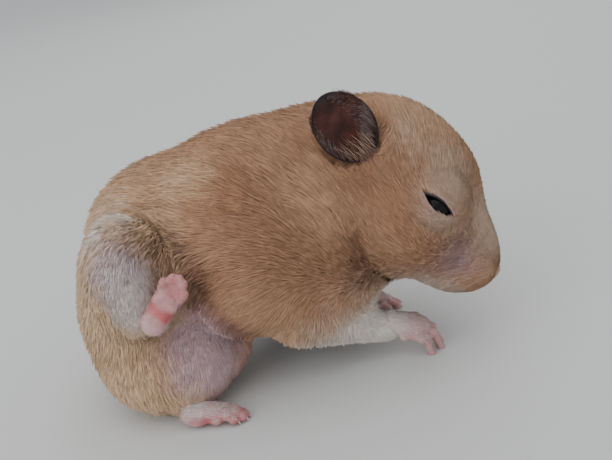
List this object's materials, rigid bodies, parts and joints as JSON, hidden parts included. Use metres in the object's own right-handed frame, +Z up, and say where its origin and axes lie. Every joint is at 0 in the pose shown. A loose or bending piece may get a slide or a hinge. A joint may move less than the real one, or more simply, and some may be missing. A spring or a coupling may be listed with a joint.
{
  "type": "golden hamster",
  "caption": "Life-size still model of a golden hamster lounging on its haunch, head low, one hind sole turned outwards.",
  "frame": {"origin": "on the floor, under the middle of the outline seen from above", "axes": "+X towards the head, +Y to the animal's left side, +Z up"},
  "size_m": [0.103, 0.0606, 0.0684],
  "materials": {
    "coat": "short soft fur",
    "bare_skin": "bare pink skin",
    "ear_skin": "thin dark skin with fine hairs",
    "eye": "wet black"
  },
  "bodies": {
    "root": {"head": "coat", "neck": "coat", "chest": "coat", "abdomen": "coat", "foreleg_right": "coat", "foreleg_left": "coat", "hindleg_right": "coat", "hindleg_left": "coat", "forepaw_right": "bare_skin", "forepaw_left": "bare_skin", "hindfoot_right": "bare_skin", "hindfoot_left": "bare_skin", "tail": "bare_skin", "ear_right": "ear_skin", "ear_left": "ear_skin", "eye_right": "eye", "eye_left": "eye"}
  },
  "joints": []
}
